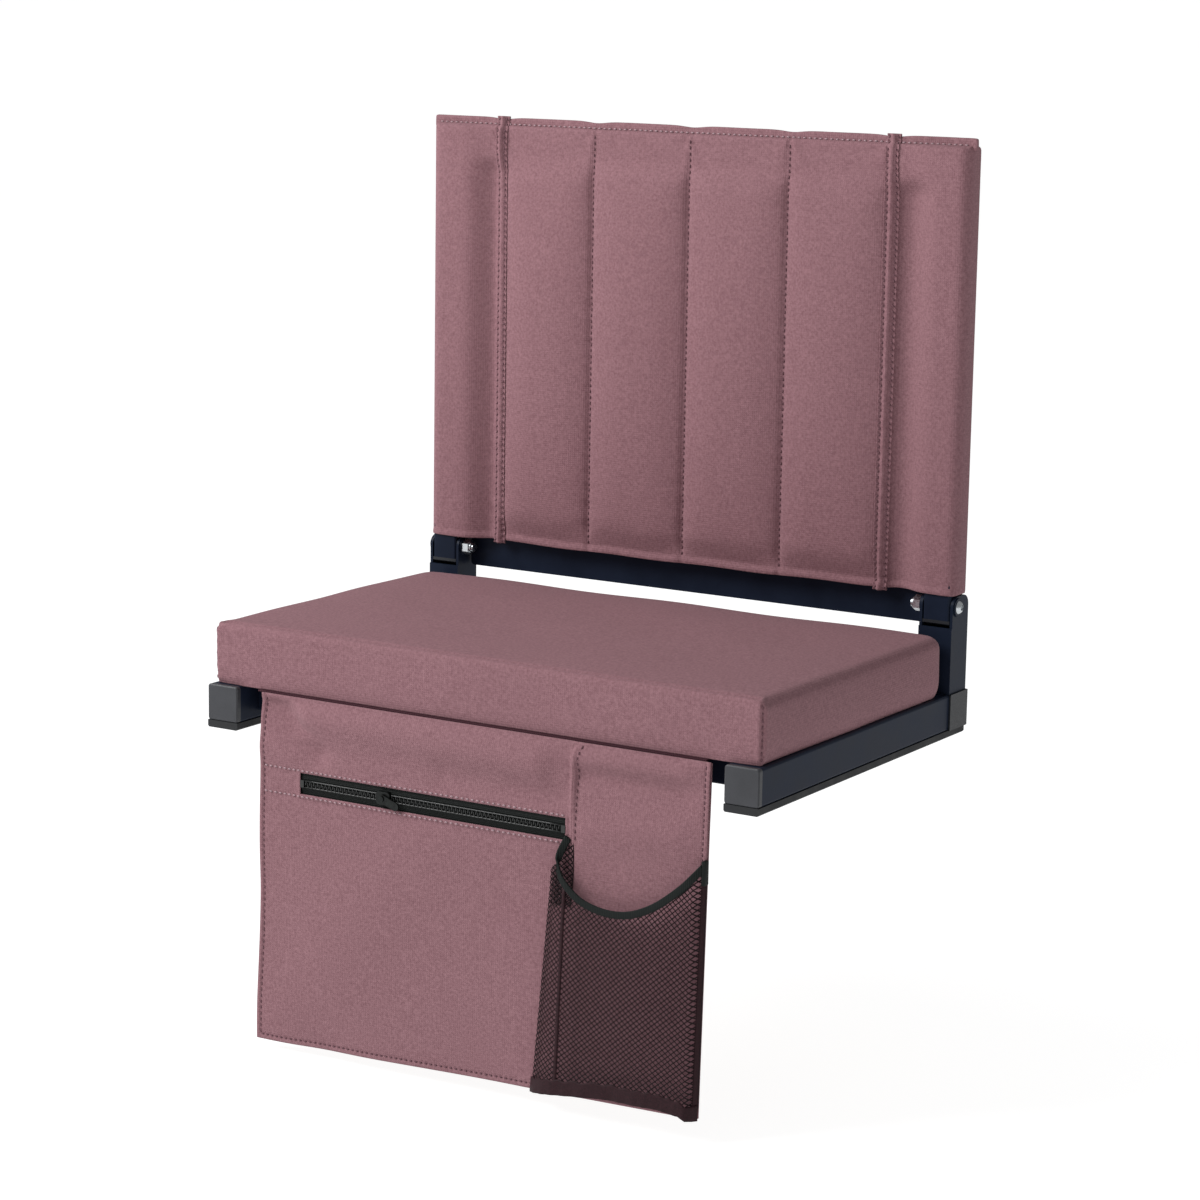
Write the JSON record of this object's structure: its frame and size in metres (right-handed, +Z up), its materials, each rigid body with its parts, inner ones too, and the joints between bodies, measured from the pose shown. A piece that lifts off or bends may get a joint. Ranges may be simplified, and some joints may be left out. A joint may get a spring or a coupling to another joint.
{
  "type": "folding stadium seat",
  "caption": "Folding stadium seat: padded board on tubular rails with rubber feet, a channel-padded back that folds flat on it, and a hanging front organiser with zip and net pockets.",
  "frame": {"origin": "on the bench's top, at the middle of the rectangle that the rubber feet stand on", "axes": "+Z up, +X to the right seen from the front, the sitter faces -Y"},
  "size_m": [0.4368, 0.3009, 0.6136],
  "materials": {
    "frame_steel": "gloss",
    "cap_plastic": "satin",
    "foot_rubber": "matte",
    "cover_fabric": "matte",
    "foam": "matte",
    "board_wood": "matte",
    "zinc_steel": "satin",
    "black_tape": "matte",
    "pocket_net": "matte",
    "zip_nylon": "satin",
    "zip_metal": "satin",
    "bush_nylon": "satin"
  },
  "bodies": {
    "seat_frame": {"left_rail": "frame_steel", "right_rail": "frame_steel", "left_hinge_post": "frame_steel", "right_hinge_post": "frame_steel", "front_cross_tube": "frame_steel", "rear_cross_tube": "frame_steel", "left_rail_cap": "cap_plastic", "right_rail_cap": "cap_plastic", "left_rear_boot": "cap_plastic", "right_rear_boot": "cap_plastic", "left_foot_strip": "foot_rubber", "right_foot_strip": "foot_rubber", "seat_board": "board_wood", "board_screws": "zinc_steel", "seat_foam": "foam", "seat_cover": "cover_fabric", "cover_staples": "zinc_steel", "left_pivot_bolt": "zinc_steel", "right_pivot_bolt": "zinc_steel", "left_pivot_nut": "zinc_steel", "right_pivot_nut": "zinc_steel", "pivot_washers": "zinc_steel", "organiser_header": "black_tape"},
    "backrest": {"left_back_leg": "frame_steel", "right_back_leg": "frame_steel", "back_top_tube": "frame_steel", "back_cross_bar": "frame_steel", "top_tube_plugs": "cap_plastic", "left_heel_plug": "cap_plastic", "right_heel_plug": "cap_plastic", "left_hinge_bush": "bush_nylon", "right_hinge_bush": "bush_nylon", "back_pads": "foam", "back_cover": "cover_fabric", "back_seam_strips": "cover_fabric"},
    "organiser": {"organiser_panel": "cover_fabric", "upper_facing": "cover_fabric", "zip_pocket_front": "cover_fabric", "pocket_backing": "cover_fabric", "zip_tapes": "black_tape", "zip_coil": "zip_nylon", "zip_stops": "zip_nylon", "mesh_front": "pocket_net", "mesh_left_gusset": "pocket_net", "mesh_right_gusset": "pocket_net", "mesh_floor": "pocket_net", "mesh_binding": "black_tape"},
    "zip_slider": {"zip_slider": "zip_metal"},
    "zip_pull": {"zip_pull": "zip_metal"}
  },
  "joints": [
    {"name": "backrest_fold", "type": "hinge", "parent": "seat_frame", "child": "backrest", "pos_m": [0, 0.1285, 0.0895], "axis": [1, 0, 0], "range_deg": [0, 90]},
    {"name": "organiser_swing", "type": "hinge", "parent": "seat_frame", "child": "organiser", "pos_m": [0, -0.141, 0.0282], "axis": [1, 0, 0], "range_deg": [-90, 44]},
    {"name": "zip_slide", "type": "slide", "parent": "organiser", "child": "zip_slider", "axis": [1, 0, 0], "range_m": [-0.06, 0.133]},
    {"name": "zip_pull_swing", "type": "hinge", "parent": "zip_slider", "child": "zip_pull", "pos_m": [-0.0685, -0.1465, -0.0293], "axis": [0, 1, 0], "range_deg": [-20, 160]}
  ]
}
